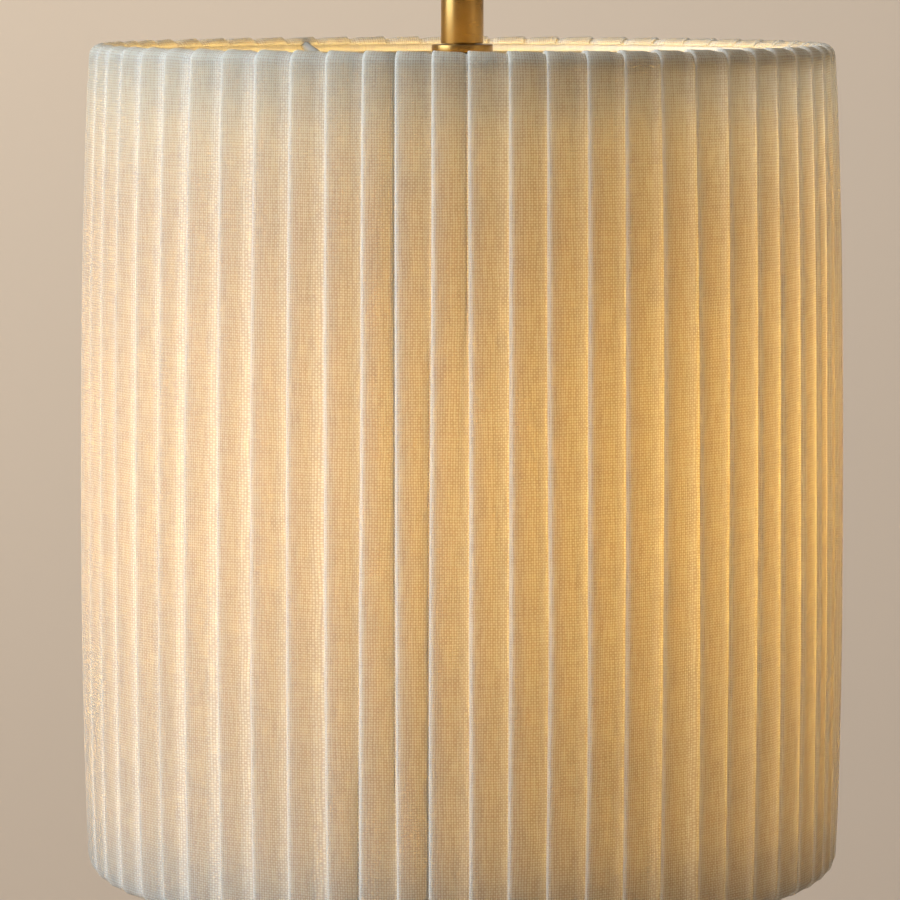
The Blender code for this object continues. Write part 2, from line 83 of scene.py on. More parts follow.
class ClothSizes(bpy.types.PropertyGroup):
    pleats: IntProperty(name="Pleats", description="Folds round the shade", default=60)
    first_fold: FloatProperty(
        name="First fold",
        description="Angle from straight ahead to the first fold",
        default=math.radians(1.5),
        subtype="ANGLE",
    )
    depth: FloatProperty(
        name="Fold depth",
        description="Cloth hidden under each fold",
        default=10.5 * MM,
        unit="LENGTH",
    )
    thickness: FloatProperty(
        name="Thickness",
        description="Thickness of the linen",
        default=0.36 * MM,
        unit="LENGTH",
    )
    spacing: FloatProperty(
        name="Layer spacing",
        description="From the middle of one layer to the next, at the rings",
        default=0.42 * MM,
        unit="LENGTH",
    )
    fold_radius: FloatProperty(
        name="Fold radius",
        description="Bend of the outer fold, at the rings",
        default=0.36 * MM,
        unit="LENGTH",
    )
    crowding: FloatProperty(
        name="Crowding",
        description="How far the folds crowd towards the front left",
        default=6.0 * MM,
        unit="LENGTH",
    )
    thread: FloatProperty(
        name="Thread pitch",
        description="Width of one upright thread and its gap",
        default=0.82 * MM,
        unit="LENGTH",
    )
    linen: FloatVectorProperty(
        name="Linen",
        description="Colour of the cloth by reflected light",
        default=(0.96, 0.92, 0.84),
        subtype="COLOR",
    )
    lit_threads: FloatVectorProperty(
        name="Lit threads",
        description="Tint of light that passes where the cloth is densest",
        default=(0.72, 0.56, 0.39),
        subtype="COLOR",
    )
    lit_gaps: FloatVectorProperty(
        name="Lit gaps",
        description="Tint of light that passes where the cloth is most open",
        default=(1.0, 0.97, 0.88),
        subtype="COLOR",
    )


class LampSizes(bpy.types.PropertyGroup):
    glow: FloatVectorProperty(
        name="Glow",
        description="Colour of the bulb's light",
        default=(1.0, 0.65, 0.175),
        subtype="COLOR",
    )
    strength: FloatProperty(
        name="Strength",
        description="Brightness of the globe",
        default=9.0,
    )
    brass: FloatVectorProperty(
        name="Brass",
        description="Colour of the aged brass",
        default=(0.39, 0.23, 0.07),
        subtype="COLOR",
    )


class StageSizes(bpy.types.PropertyGroup):
    wall: FloatVectorProperty(
        name="Backdrop",
        description="Colour of floor and wall",
        default=(0.62, 0.53, 0.44),
        subtype="COLOR",
    )
    floor_drop: FloatProperty(
        name="Floor",
        description="Floor below the stem's upper end",
        default=2.4,
        unit="LENGTH",
    )
    room_radius: FloatProperty(
        name="Room",
        description="Radius of the round backdrop",
        default=4.2,
        unit="LENGTH",
    )
    lens: FloatProperty(
        name="Lens",
        description="Focal length in millimetres",
        default=174.1,
    )
    camera_distance: FloatProperty(
        name="Camera distance",
        description="Camera to the shade's axis",
        default=1.640,
        unit="LENGTH",
    )
    camera_height: FloatProperty(
        name="Camera height",
        description="Camera above the rim",
        default=0.0326,
        unit="LENGTH",
    )
    camera_tilt: FloatProperty(
        name="Camera tilt",
        description="How far the camera looks down",
        default=math.radians(6.5),
        subtype="ANGLE",
    )
    camera_turn: FloatProperty(
        name="Camera turn",
        description="How far the camera looks to the left of the axis",
        default=math.radians(0.16),
        subtype="ANGLE",
    )


# --- what the model says ---------------------------------------------------

RING_WIRE = 1.5 * MM
ARM_WIRE = 1.75 * MM
FIRST_ARM = math.radians(118.5)
HOLDER_HOLE = 20.25 * MM  # the hub, the clamp ring and the washer pass the skirt's thread
SKIRT = 19.75 * MM
STEM_HOLE = 5.3 * MM
GLOBE = 62.5 * MM
BELLY = 1.5 * MM  # how far the sides bow out
LIP = math.radians(152)  # how far the cloth turns over each ring
CLOTH_IN = 3.35 * MM  # from the ring wire's centre to the middle of the cloth's lowest layer


def ring_centre(node):
    """Radius and height of a ring wire's centre line."""
    low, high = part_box(node)
    return high.x - RING_WIRE, (low.z + high.z) / 2


TOP_RING = ring_centre("top_ring")
BOTTOM_RING = ring_centre("bottom_ring")
RIM_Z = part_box("pleated_cover")[1].z
MEAN_RADIUS = (TOP_RING[0] + BOTTOM_RING[0]) / 2 + CLOTH_IN
SIDE_LENGTH = TOP_RING[1] - BOTTOM_RING[1]
LIP_LENGTH = LIP * CLOTH_IN
CLOTH_LENGTH = SIDE_LENGTH + 2 * LIP_LENGTH


# --- mesh helpers ------------------------------------------------------------


def smooth_step(low, high, value):
    """0 below low, 1 above high, and a soft step between them."""
    share = min(max((value - low) / (high - low), 0.0), 1.0)
    return share * share * (3 - 2 * share)


def finished(name, builder, body, material, stands_for=(), sharp=40):
    """Makes a piece from a bmesh, on its body, and hides the plain solids it stands for."""
    mesh = bpy.data.meshes.new(name)
    builder.to_mesh(mesh)
    builder.free()
    mesh.materials.append(material)
    mesh.shade_smooth()
    mesh.set_sharp_from_angle(angle=math.radians(sharp))
    piece = bpy.data.objects.new(name, mesh)
    bpy.context.scene.collection.objects.link(piece)
    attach(piece, body)
    if stands_for:
        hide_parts(*stands_for)
    return piece


def thicken(piece, thickness):
    """Gives a sheet its thickness, half of it on each side."""
    wall = piece.modifiers.new("thickness", "SOLIDIFY")
    wall.thickness = thickness
    wall.offset = 0.0


def rounded(corners, radius, steps=3):
    """A closed profile with each corner turned by a small arc; corners are (radius, height)."""
    points = []
    count = len(corners)
    for i, corner in enumerate(corners):
        here = Vector(corner)
        back = Vector(corners[i - 1]) - here
        ahead = Vector(corners[(i + 1) % count]) - here
        reach = min(radius, back.length / 2.2, ahead.length / 2.2)
        start, end = here + back.normalized() * reach, here + ahead.normalized() * reach
        for step in range(steps + 1):
            t = step / steps
            points.append(tuple(start.lerp(here, t).lerp(here.lerp(end, t), t)))
    return points


def tube_corners(inner, outer, low, high):
    """The profile of a plain ring or tube."""
    return [(inner, high), (outer, high), (outer, low), (inner, low)]


def spun(profile, sides=96, closed=True):
    """A bmesh of the profile turned about the lamp's axis."""
    builder = bmesh.new()
    ring = [builder.verts.new((radius, 0.0, height)) for radius, height in profile]
    pairs = zip(ring, ring[1:] + ring[:1]) if closed else zip(ring, ring[1:])
    for here, there in pairs:
        builder.edges.new((here, there))
    bmesh.ops.spin(
        builder,
        geom=builder.verts[:] + builder.edges[:],
        cent=(0, 0, 0),
        axis=(0, 0, 1),
        angle=FULL_TURN,
        steps=sides,
        use_merge=True,
    )
    bmesh.ops.remove_doubles(builder, verts=builder.verts, dist=1e-7)
    bmesh.ops.recalc_face_normals(builder, faces=builder.faces)
    return builder


def run(start, end, steps):
    """Evenly spaced profile points from start up to, but without, end."""
    a, b = Vector(start), Vector(end)
    return [tuple(a.lerp(b, i / steps)) for i in range(steps)]


def arc(centre, radius, first, last, steps):
    """Profile points on an arc; angle 0 points away from the axis."""
    turns = [math.radians(first + (last - first) * i / steps) for i in range(steps + 1)]
    return [(centre[0] + radius * math.cos(a), centre[1] + radius * math.sin(a)) for a in turns]


def sweep_curve(start, first_handle, last_handle, end, steps):
    """Profile points on a Bezier curve."""
    a, b, c, d = (Vector(point) for point in (start, first_handle, last_handle, end))
    points = []
    for i in range(steps + 1):
        t = i / steps
        early = a.lerp(b, t).lerp(b.lerp(c, t), t)
        late = b.lerp(c, t).lerp(c.lerp(d, t), t)
        points.append(tuple(early.lerp(late, t)))
    return points


def cut_thread(builder, near, low, high, pitch, depth):
    """Moves the wall at radius near in and out along a helix between two heights."""
    for vert in builder.verts:
        reach = math.hypot(vert.co.x, vert.co.y)
        if abs(reach - near) > 0.2 * MM or not low < vert.co.z < high:
            continue
        turn = math.atan2(vert.co.y, vert.co.x) / FULL_TURN
        wave = 0.5 - 0.5 * math.cos(FULL_TURN * (vert.co.z / pitch - turn))
        fade = smooth_step(low, low + pitch, vert.co.z)
        fade *= 1 - smooth_step(high - pitch, high, vert.co.z)
        scale = 1 - depth * wave * fade / reach
        vert.co.x *= scale
        vert.co.y *= scale


def cut_flutes(builder, near, low, high, count, depth):
    """Presses upright grooves into the wall at radius near, fading out at both ends."""
    for vert in builder.verts:
        reach = math.hypot(vert.co.x, vert.co.y)
        if reach < near - 0.2 * MM:
            continue
        turn = math.atan2(vert.co.y, vert.co.x)
        flute = max(0.0, math.cos(turn * count)) ** 0.7
        fade = smooth_step(low + 1.0 * MM, low + 1.6 * MM, vert.co.z)
        fade *= 1 - smooth_step(high - 1.6 * MM, high - 1.0 * MM, vert.co.z)
        scale = 1 - depth * flute * fade / reach
        vert.co.x *= scale
        vert.co.y *= scale


# --- shader helpers ------------------------------------------------------------


class Term:
    """A number made by a shader node, so that shader maths reads as an expression."""

    def __init__(self, surface, socket):
        self.surface = surface
        self.socket = socket

    def maths(self, operation, first, second=None):
        inputs = {0: first} if second is None else {0: first, 1: second}
        return self.surface.term("Math", {"operation": operation}, inputs)

    def __add__(self, other):
        return self.maths("ADD", self, other)

    def __radd__(self, other):
        return self.maths("ADD", other, self)

    def __sub__(self, other):
        return self.maths("SUBTRACT", self, other)

    def __rsub__(self, other):
        return self.maths("SUBTRACT", other, self)

    def __mul__(self, other):
        return self.maths("MULTIPLY", self, other)

    def __rmul__(self, other):
        return self.maths("MULTIPLY", other, self)

    def sin(self):
        return self.maths("SINE", self)

    def size(self):
        return self.maths("ABSOLUTE", self)

    def fraction(self):
        return self.maths("FRACT", self)

    def larger(self, other):
        return self.maths("MAXIMUM", self, other)

    def between(self, low, high):
        """0 below low, 1 above high, and a soft step between them."""
        settings = {"interpolation_type": "SMOOTHSTEP"}
        inputs = {"Value": self, "From Min": low, "From Max": high}
        return self.surface.term("MapRange", settings, inputs)


class Surface:
    """A material under construction."""

    def __init__(self, name):
        self.material = bpy.data.materials.new(name)
        self.material.use_nodes = True
        self.tree = self.material.node_tree
        self.tree.nodes.clear()
        self.output = self.tree.nodes.new("ShaderNodeOutputMaterial")

    def node(self, kind, settings=None, inputs=None):
        made = self.tree.nodes.new("ShaderNode" + kind)
        for key, value in (settings or {}).items():
            setattr(made, key, value)
        for key, value in (inputs or {}).items():
            socket = made.inputs[key]
            if isinstance(value, Term):
                value = value.socket
            if isinstance(value, bpy.types.NodeSocket):
                self.tree.links.new(value, socket)
            else:
                socket.default_value = value
        return made

    def term(self, kind, settings=None, inputs=None, output=0):
        return Term(self, self.node(kind, settings, inputs).outputs[output])

    def place(self, x, y, z=0.0):
        return self.node("CombineXYZ", None, {"X": x, "Y": y, "Z": z}).outputs[0]

    def noise(self, vector, scale=1.0, detail=2.0, roughness=0.5, flat=False):
        inputs = {"Vector": vector, "Scale": scale, "Detail": detail, "Roughness": roughness}
        return self.term("TexNoise", {"noise_dimensions": "2D" if flat else "3D"}, inputs)

    def blend(self, share, first, second):
        """A colour between two colours."""
        made = self.node("Mix", {"data_type": "RGBA"}, {0: share, 6: first, 7: second})
        return made.outputs[2]

    def bump(self, height, distance, strength=1.0):
        inputs = {"Height": height, "Distance": distance, "Strength": strength}
        return self.node("Bump", None, inputs).outputs[0]

    def principled(self, **inputs):
        named = {key.replace("_", " "): value for key, value in inputs.items()}
        return self.node("BsdfPrincipled", None, named).outputs[0]

    def finish(self, shader):
        self.tree.links.new(shader, self.output.inputs["Surface"])
        return self.material

    def object_place(self, scale=(1.0, 1.0, 1.0)):
        """Object coordinates, each axis times its scale."""
        place = self.node("TexCoord").outputs["Object"]
        return self.node("Mapping", None, {"Vector": place, "Scale": scale}).outputs[0]


def rgba(colour, factor=1.0):
    return (*(min(c * factor, 1.0) for c in colour), 1.0)


def metal(name, colour, roughness, grain=(250, 250, 3500), wear=0.12, bump=0.01 * MM):
    """Brushed or plated metal: fine grain along one direction, and cloudy tone."""
    s = Surface(name)
    lines = s.noise(s.object_place(grain), 1.0, 3.0, 0.6)
    cloud = s.noise(s.object_place((60, 60, 60)), 1.0, 4.0, 0.6)
    tone = s.blend(cloud.between(0.3, 0.7), rgba(colour, 1 - wear), rgba(colour, 1 + wear))
    tone = s.blend(lines * 0.35, tone, rgba(colour, 1 - 2 * wear))
    return s.finish(
        s.principled(
            Base_Color=tone,
            Metallic=1.0,
            Roughness=roughness - 0.06 + 0.14 * lines + 0.06 * cloud,
            Normal=s.bump(lines, bump, 0.6),
        )
    )


def coated(name, colour, roughness, scale=400, bump=0.02 * MM, tone=0.06, coat=0.0):
    """Paint, glaze or moulded plastic: an almost even colour with a faint orange-peel surface."""
    s = Surface(name)
    peel = s.noise(s.object_place((scale, scale, scale)), 1.0, 3.0, 0.5)
    cloud = s.noise(s.object_place((35, 35, 35)), 1.0, 3.0, 0.5)
    shade = s.blend(cloud.between(0.3, 0.7), rgba(colour, 1 - tone), rgba(colour, 1 + tone))
    return s.finish(
        s.principled(
            Base_Color=shade,
            Roughness=roughness - 0.05 + 0.1 * peel,
            Coat_Weight=coat,
            Normal=s.bump(peel, bump, 0.5),
        )
    )


def one_sided(s, shader):
    """A thin wall tints light where it enters, and lets all of it out through its far skin."""
    inside = s.node("NewGeometry").outputs["Backfacing"]
    leaving = s.node("BsdfTranslucent", None, {"Color": (1.0, 1.0, 1.0, 1.0)}).outputs[0]
    return s.node("MixShader", None, {0: inside, 1: shader, 2: leaving}).outputs[0]


def woven(name, colour, thick, thin, thread, passes, pleat=None):
    """Plain-woven cloth whose UV map is in metres of flat cloth.

    thick and thin tint the light that goes through the cloth where it is dense and where it is
    open, and passes is the share of light that goes through rather than back. pleat is the length
    of cloth in a pleat, the depth that is tucked away and the height of the cloth; with it, the
    light passed is set by place as painted glow and painted shade: more and paler light through
    each tuck towards its inner edge, along each fold and towards the top of the cloth, which is
    painted glow, and less and darker light where one layer lies alone past each tuck, which is
    painted shade.
    """
    weft_per_warp = 0.91
    s = Surface(name)
    cloth = s.node("SeparateXYZ", None, {0: s.node("UVMap", {"uv_map": "cloth"}).outputs[0]})
    u, v = Term(s, cloth.outputs[0]), Term(s, cloth.outputs[1])
    wander = s.noise(s.place(u * 60, v * 60), 1.0, 1.0, flat=True) - 0.5
    across = u * (1 / thread) + wander * 0.9
    along = v * (weft_per_warp / thread) - wander * 0.7
    # each thread has its own thickness, which drifts along it
    warp_slub = s.noise(s.place(across * 0.95, v * 110), 1.0, 1.0, flat=True) - 0.5
    weft_slub = s.noise(s.place(u * 90, along * 0.95), 1.0, 1.0, flat=True) - 0.5
    warp_wave = (across * math.pi).sin()
    weft_wave = (along * math.pi).sin()
    # plain weave: over one, under one
    over = warp_wave * weft_wave
    warp = warp_wave.size() * (0.62 + 0.38 * over) + warp_slub * 0.5
    weft = weft_wave.size() * (0.62 - 0.38 * over) + weft_slub * 0.5
    height = warp.larger(weft)
    knots = warp_slub + weft_slub * 0.5
    weave = (warp_wave.size() + weft_wave.size()) * 0.9 - 0.64 + over * 0.32 + knots
    relief = s.bump(height, 0.2 * MM, 0.9)
    face = s.principled(
        Base_Color=s.blend(weave, rgba(colour, 0.78), rgba(colour, 1.08)),
        Roughness=0.92,
        Sheen_Weight=0.12,
        Sheen_Roughness=0.6,
        Specular_IOR_Level=0.2,
        Normal=relief,
    )
    clear = weave
    share = passes + (weave - 0.5) * 0.12
    if pleat:
        length, depth, drop = pleat
        place = (u * (1 / length)).fraction() * length
        # 0 where a tuck begins, at a fold, and 1 at its inner edge
        inwards = (1 - (place - (length - depth)).size() * (1 / depth)).larger(0.0)
        tucked = inwards.between(0.0, 0.08)
        # painted glow along each fold: more and paler light passes there
        fold = 1 - place.between(1.2 * MM, 6.0 * MM)
        # painted shade where one layer lies alone past each tuck: less and darker light passes there
        lone_layer_shade = place.between(depth * 0.85, depth * 1.5) - tucked
        # painted glow towards the top of the cloth: paler light passes there
        clear = clear + v.between(drop - 70 * MM, drop - 8 * MM) * 0.35
        # painted glow: more and paler light through each tuck, towards its inner edge, and along each
        # fold; painted shade: less and darker light where one layer lies alone
        clear = clear + inwards.between(0.0, 0.7) * 0.55 + fold * 0.6 - lone_layer_shade * 0.3
        share = share + tucked * 0.13 + inwards * 0.15 + fold * 0.03 - lone_layer_shade * 0.24
    tints = [
        s.node("BsdfTranslucent", None, {"Color": rgba(tint), "Normal": relief}).outputs[0]
        for tint in (thick, thin)
    ]
    through = s.node("MixShader", None, {0: clear, 1: tints[0], 2: tints[1]}).outputs[0]
    mixed = s.node("MixShader", None, {0: share, 1: face, 2: through}).outputs[0]
    return s.finish(one_sided(s, mixed))


# --- cloth --------------------------------------------------------------------


def shade_section(share, offset):
    """Radius and height of the cloth at a share of its length, offset outwards from the lowest layer."""
    reach = CLOTH_IN + offset
    along = share * CLOTH_LENGTH
    if along < LIP_LENGTH:
        turn = LIP * (1 - along / LIP_LENGTH)
        return TOP_RING[0] + reach * math.cos(turn), TOP_RING[1] + reach * math.sin(turn)
    if along > LIP_LENGTH + SIDE_LENGTH:
        turn = LIP * (along - LIP_LENGTH - SIDE_LENGTH) / LIP_LENGTH
        return BOTTOM_RING[0] + reach * math.cos(turn), BOTTOM_RING[1] - reach * math.sin(turn)
    down = (along - LIP_LENGTH) / SIDE_LENGTH
    bow = BELLY * (1 - abs(2 * down - 1) ** 2.6)
    radius = TOP_RING[0] + (BOTTOM_RING[0] - TOP_RING[0]) * down + bow + reach
    return radius, TOP_RING[1] - SIDE_LENGTH * down


def section_rows(side_rows=24, lip_rows=8):
    """Shares of the cloth's length for each row of the grid, closer together over the rings."""
    rows = [LIP_LENGTH * i / lip_rows for i in range(lip_rows)]
    rows += [LIP_LENGTH + SIDE_LENGTH * i / side_rows for i in range(side_rows)]
    rows += [LIP_LENGTH + SIDE_LENGTH + LIP_LENGTH * i / lip_rows for i in range(lip_rows + 1)]
    return [row / CLOTH_LENGTH for row in rows]


class Pleating:
    """Where each point of the flat cloth goes when it is pleated round the shade."""

    FOLD, FACE, TUCK, RETURN = 5, 7, 3, 3  # columns of each part of a pleat
    CREST = 5.5 * MM  # width of the rounded edge beside a fold

    def __init__(self, sizes):
        self.sizes = sizes
        self.count = sizes.pleats
        self.pitch = FULL_TURN * MEAN_RADIUS / self.count
        chance = random.Random(SEED)
        self.shift = [chance.gauss(0, 0.5 * MM) for _ in range(self.count)]
        self.lean = [chance.gauss(0, 0.35 * MM) for _ in range(self.count)]
        self.spare = [chance.gauss(0, 0.55 * MM) for _ in range(self.count)]
        self.columns = self.FOLD + self.FACE + self.TUCK + self.RETURN

    def fold_line(self, pleat, down):
        """Distance round the shade to a pleat's fold, at a share of the height."""
        i = pleat % self.count
        waver = noise.noise(Vector((i * 3.7, down * 3.0, 0.5))) * 0.45 * MM
        lean = self.lean[i] * (2 * down - 1)
        return pleat * self.pitch + self.crowding(i) + self.shift[i] + lean + waver

    def crowding(self, i):
        """The maker's drift: folds left of the middle sit closer together than the rest."""
        turn = self.sizes.first_fold + FULL_TURN * i / self.count
        turn -= FULL_TURN if turn > math.pi else 0.0
        fade = 1 - smooth_step(math.radians(100), math.pi, abs(turn))
        pull = math.tanh((turn + math.radians(8)) / math.radians(16))
        return self.sizes.crowding * (1 / 3 - pull) * fade

    def depth(self, pleat, down):
        i = pleat % self.count
        drift = noise.noise(Vector((i * 5.1, down * 2.0, 8.5))) * 0.6 * MM
        return self.sizes.depth + self.spare[i] + drift

    def layers(self, down):
        """Layer spacing and fold radius, which open out between the rings."""
        ease = math.sin(math.pi * down) ** 0.6
        return self.sizes.spacing * (1 + 0.7 * ease), self.sizes.fold_radius * (1 + 1.5 * ease)

    def face_offset(self, place, pitch, own_depth, spacing, bend):
        """Height of the face over the lowest layer, from its fold to past the next fold."""
        crest = (2 * bend - spacing) * (1 - smooth_step(0, self.CREST, place))
        fall = smooth_step(own_depth * 0.85, pitch - 0.2 * MM, place)
        return 2 * spacing * (1 - fall) + crest

    def point(self, pleat, column, down):
        """(distance round the shade, offset outwards) of a grid point."""
        spacing, bend = self.layers(down)
        start = self.fold_line(pleat, down)
        pitch = self.fold_line(pleat + 1, down) - start
        own, under = self.depth(pleat, down), self.depth(pleat + 1, down)
        low = spacing * 0.55  # the tucked layers lie closer than the rest
        tuck = low / 2
        if column <= self.FOLD:
            turn = math.pi * (column / self.FOLD - 0.5)
            return start + bend - bend * math.cos(turn), spacing + bend + bend * math.sin(turn)
        column -= self.FOLD
        last = pitch + under - tuck
        if column <= self.FACE:
            stops = (
                bend,
                own * 0.5,
                own * 0.95,
                (own + pitch) / 2,
                pitch - 0.9 * MM,
                pitch + 0.1 * MM,
                pitch + under / 2,
                last,
            )
            place = stops[column]
            return start + place, self.face_offset(place, pitch, own, spacing, bend)
        column -= self.FACE
        if column <= self.TUCK:
            turn = math.pi * (column / self.TUCK - 0.5)
            return start + last + tuck * math.cos(turn), tuck + tuck * math.sin(turn)
        column -= self.TUCK
        near = pitch + bend
        back = column / self.RETURN
        return start + last + (near - last) * back, low + (spacing - low) * back

    def flat_length(self):
        """Length of cloth in one pleat."""
        bend, tuck = self.sizes.fold_radius, self.sizes.spacing / 2
        face = self.pitch + self.sizes.depth - tuck - bend
        return math.pi * (bend + tuck) + face + self.sizes.depth - tuck - bend

    def flat_stops(self):
        """Cloth length from the start of a pleat to each of its columns."""
        at = [0.0]
        here = self.point(0, 0, 0.5)
        for column in range(1, self.columns + 1):
            there = self.point(0, column, 0.5)
            at.append(at[-1] + math.dist(here, there))
            here = there
        return [self.flat_length() * a / at[-1] for a in at]


def pleated_cloth(sizes):
    """A flat grid of cloth, laid out in metres and then folded round the rings."""
    pleating = Pleating(sizes)
    rows = section_rows()
    over_top = 0.03  # share of the cloth that turns over each ring
    columns = pleating.columns * pleating.count
    stops = pleating.flat_stops()
    builder = bmesh.new()
    bmesh.ops.create_grid(builder, x_segments=columns, y_segments=len(rows) - 1, size=0.5)
    index = {
        vert: (round((vert.co.x + 0.5) * columns), round((0.5 - vert.co.y) * (len(rows) - 1)))
        for vert in builder.verts
    }
    cloth = builder.loops.layers.uv.new("cloth")
    for face in builder.faces:
        for loop in face.loops:
            column, row = index[loop.vert]
            pleat, part = divmod(column, pleating.columns)
            along = pleat * stops[-1] + stops[part]
            loop[cloth].uv = (along, (1 - rows[row]) * CLOTH_LENGTH)
    for vert, (column, row) in index.items():
        pleat, part = divmod(column, pleating.columns)
        share = rows[row]
        down = min(max((share - over_top) / (1 - 2 * over_top), 0.0), 1.0)
        around, offset = pleating.point(pleat, part, down)
        turn = around / MEAN_RADIUS + sizes.first_fold
        sway = Vector((math.cos(turn) * 3.2, math.sin(turn) * 3.2, down * 2.5))
        ease = math.sin(math.pi * down) ** 0.5
        offset += noise.noise(sway) * 0.25 * MM * ease
        offset += noise.noise(sway * 6.0) * 0.05 * MM
        radius, level = shade_section(share, offset)
        vert.co = (radius * math.sin(turn), -radius * math.cos(turn), level)
    bmesh.ops.remove_doubles(builder, verts=builder.verts, dist=1e-6)
    return builder, (stops[-1] * pleating.count, CLOTH_LENGTH)


class LAMPSHADE_OT_cloth(bpy.types.Operator):
    """Fold the linen into pleats over both rings"""

    bl_idname = "lampshade.cloth"
    bl_label = "Pleated linen"

    def execute(self, context):
        sizes = context.scene.lampshade_cloth
        builder, flat = pleated_cloth(sizes)
        linen = woven(
            "linen",
            sizes.linen,
            sizes.lit_threads,
            sizes.lit_gaps,
            sizes.thread,
            passes=0.74,
            pleat=(flat[0] / sizes.pleats, sizes.depth + 0.35 * MM, flat[1]),
        )
        cover = finished("linen_cover", builder, "shade", linen, ["pleated_cover"], 180)
        thicken(cover, sizes.thickness)
        return {"FINISHED"}


class LAMPSHADE_OT_diffuser(bpy.types.Operator):
    """Roll the diffuser sheet and lap its ends"""

    bl_idname = "lampshade.diffuser"
    bl_label = "Diffuser"

    def execute(self, context):
        low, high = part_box("diffuser_sheet")
        off_ring, sheet, gap = 0.35 * MM, 0.3 * MM, 0.35 * MM
        lap, ramp = math.radians(5), math.radians(14)
        builder = bmesh.new()
        bmesh.ops.create_grid(builder, x_segments=256, y_segments=12, size=0.5)
        for vert in builder.verts:
            share, down = vert.co.x + 0.5, 0.5 - vert.co.y
            turn = (FULL_TURN + lap) * share
            radius = TOP_RING[0] + (BOTTOM_RING[0] - TOP_RING[0]) * down
            radius += RING_WIRE + off_ring + sheet / 2
            radius += (sheet + gap) * smooth_step(FULL_TURN - ramp, FULL_TURN, turn)
            level = high.z + (low.z - high.z) * down
            vert.co = (radius * math.cos(turn), radius * math.sin(turn), level)
        bmesh.ops.recalc_face_normals(builder, faces=builder.faces)

        s = Surface("diffuser film")
        cloud = s.noise(s.object_place((18, 18, 18)), 1.0, 4.0)
        grain = s.noise(s.object_place((900, 900, 900)), 1.0, 2.0)
        face = s.principled(
            Base_Color=s.blend(cloud, rgba((0.92, 0.89, 0.82)), rgba((0.96, 0.94, 0.88))),
            Roughness=0.5 + 0.1 * grain,
            Normal=s.bump(grain, 0.02 * MM, 0.4),
        )
        through = s.node("BsdfTranslucent", None, {"Color": (1.0, 0.95, 0.84, 1.0)}).outputs[0]
        share = 0.42 + 0.04 * (cloud - 0.5)
        mixed = s.node("MixShader", None, {0: share, 1: face, 2: through}).outputs[0]
        film = s.finish(one_sided(s, mixed))
        piece = finished("diffuser", builder, "shade", film, ["diffuser_sheet"], 60)
        thicken(piece, sheet)
        return {"FINISHED"}


# --- fitter -----------------------------------------------------------------------


def bent_path(points, most_bend):
    """The points of a wire's centre line, with each bend softened."""
    steps = 6
    path = [Vector(points[0])]
    for i in range(1, len(points) - 1):
        here = Vector(points[i])
        back = Vector(points[i - 1]) - here
        ahead = Vector(points[i + 1]) - here
        bend = min(most_bend, back.length / 2.2, ahead.length / 2.2)
        start, end = here + back.normalized() * bend, here + ahead.normalized() * bend
        for step in range(steps + 1):
            t = step / steps
            path.append(start.lerp(here, t).lerp(here.lerp(end, t), t))
    path.append(Vector(points[-1]))
    return path


def bent_wire(name, points, radius, body, material, stands_for):
    """A round wire with softened bends, made a mesh."""
    path = bent_path(points, 3.0 * MM)
    curve = bpy.data.curves.new(name, "CURVE")
    curve.dimensions = "3D"
    curve.bevel_depth = radius
    curve.bevel_resolution = 6
    curve.use_fill_caps = True
    spline = curve.splines.new("POLY")
    spline.points.add(len(path) - 1)
    for target, place in zip(spline.points, path):
        target.co = (*place, 1.0)
    guide = bpy.data.objects.new(name + "_guide", curve)
    bpy.context.scene.collection.objects.link(guide)
    graph = bpy.context.evaluated_depsgraph_get()
    mesh = bpy.data.meshes.new_from_object(guide.evaluated_get(graph))
    bpy.data.objects.remove(guide)
    builder = bmesh.new()
    builder.from_mesh(mesh)
    bmesh.ops.remove_doubles(builder, verts=builder.verts, dist=1e-7)
    bmesh.ops.recalc_face_normals(builder, faces=builder.faces)
    return finished(name, builder, body, material, stands_for, 50)


def lay_out_tape(builder, outline, radius):
    """A UV map in metres for a band spun from an outline: x along the band, y across it."""
    cloth = builder.loops.layers.uv.new("cloth")
    lengths = [0.0]
    for here, there in zip(outline, outline[1:]):
        lengths.append(lengths[-1] + math.dist(here, there))
    for face in builder.faces:
        turns = [math.atan2(loop.vert.co.y, loop.vert.co.x) for loop in face.loops]
        wraps = max(turns) - min(turns) > math.pi
        for loop, turn in zip(face.loops, turns):
            place = (math.hypot(loop.vert.co.x, loop.vert.co.y), loop.vert.co.z)
            nearest = min(range(len(outline)), key=lambda i: math.dist(outline[i], place))
            turn += FULL_TURN if wraps and turn < 0 else 0.0
            loop[cloth].uv = (turn * radius, lengths[nearest])


class LAMPSHADE_OT_fitter(bpy.types.Operator):
    """Make the rings, arms and hub of the shade's frame"""

    bl_idname = "lampshade.fitter"
    bl_label = "Fitter"

    def execute(self, context):
        paint = coated("ivory paint", (0.40, 0.37, 0.31), 0.55, tone=0.04)
        for name, node, ring in (
            ("ring_top", "top_ring", TOP_RING),
            ("ring_bottom", "bottom_ring", BOTTOM_RING),
        ):
            profile = arc(ring, RING_WIRE, 0, 360, 16)[:-1]
            finished(name, spun(profile, 192), "shade", paint, [node], 60)

        low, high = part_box("hub_washer")
        hub = spun(rounded(tube_corners(HOLDER_HOLE, high.x, low.z, high.z), 0.5 * MM))
        finished("fitter_hub", hub, "shade", paint, ["hub_washer"])

        foot = high.z + 0.05 * MM + ARM_WIRE
        tip = TOP_RING[1] + 0.9 * MM
        stations = (
            (24.5 * MM, foot),
            (31.5 * MM, foot),
            (TOP_RING[0] - 3.4 * MM, tip),
            (TOP_RING[0] - 1.4 * MM, tip + 0.3 * MM),
        )
        for arm in range(3):
            turn = FIRST_ARM + FULL_TURN * arm / 3
            way = Vector((math.cos(turn), math.sin(turn), 0))
            points = [way * radius + Vector((0, 0, level)) for radius, level in stations]
            name, node = f"wire_arm_{arm + 1}", f"fitter_arm_{arm + 1}"
            bent_wire(name, points, ARM_WIRE, "shade", paint, [node])
        return {"FINISHED"}


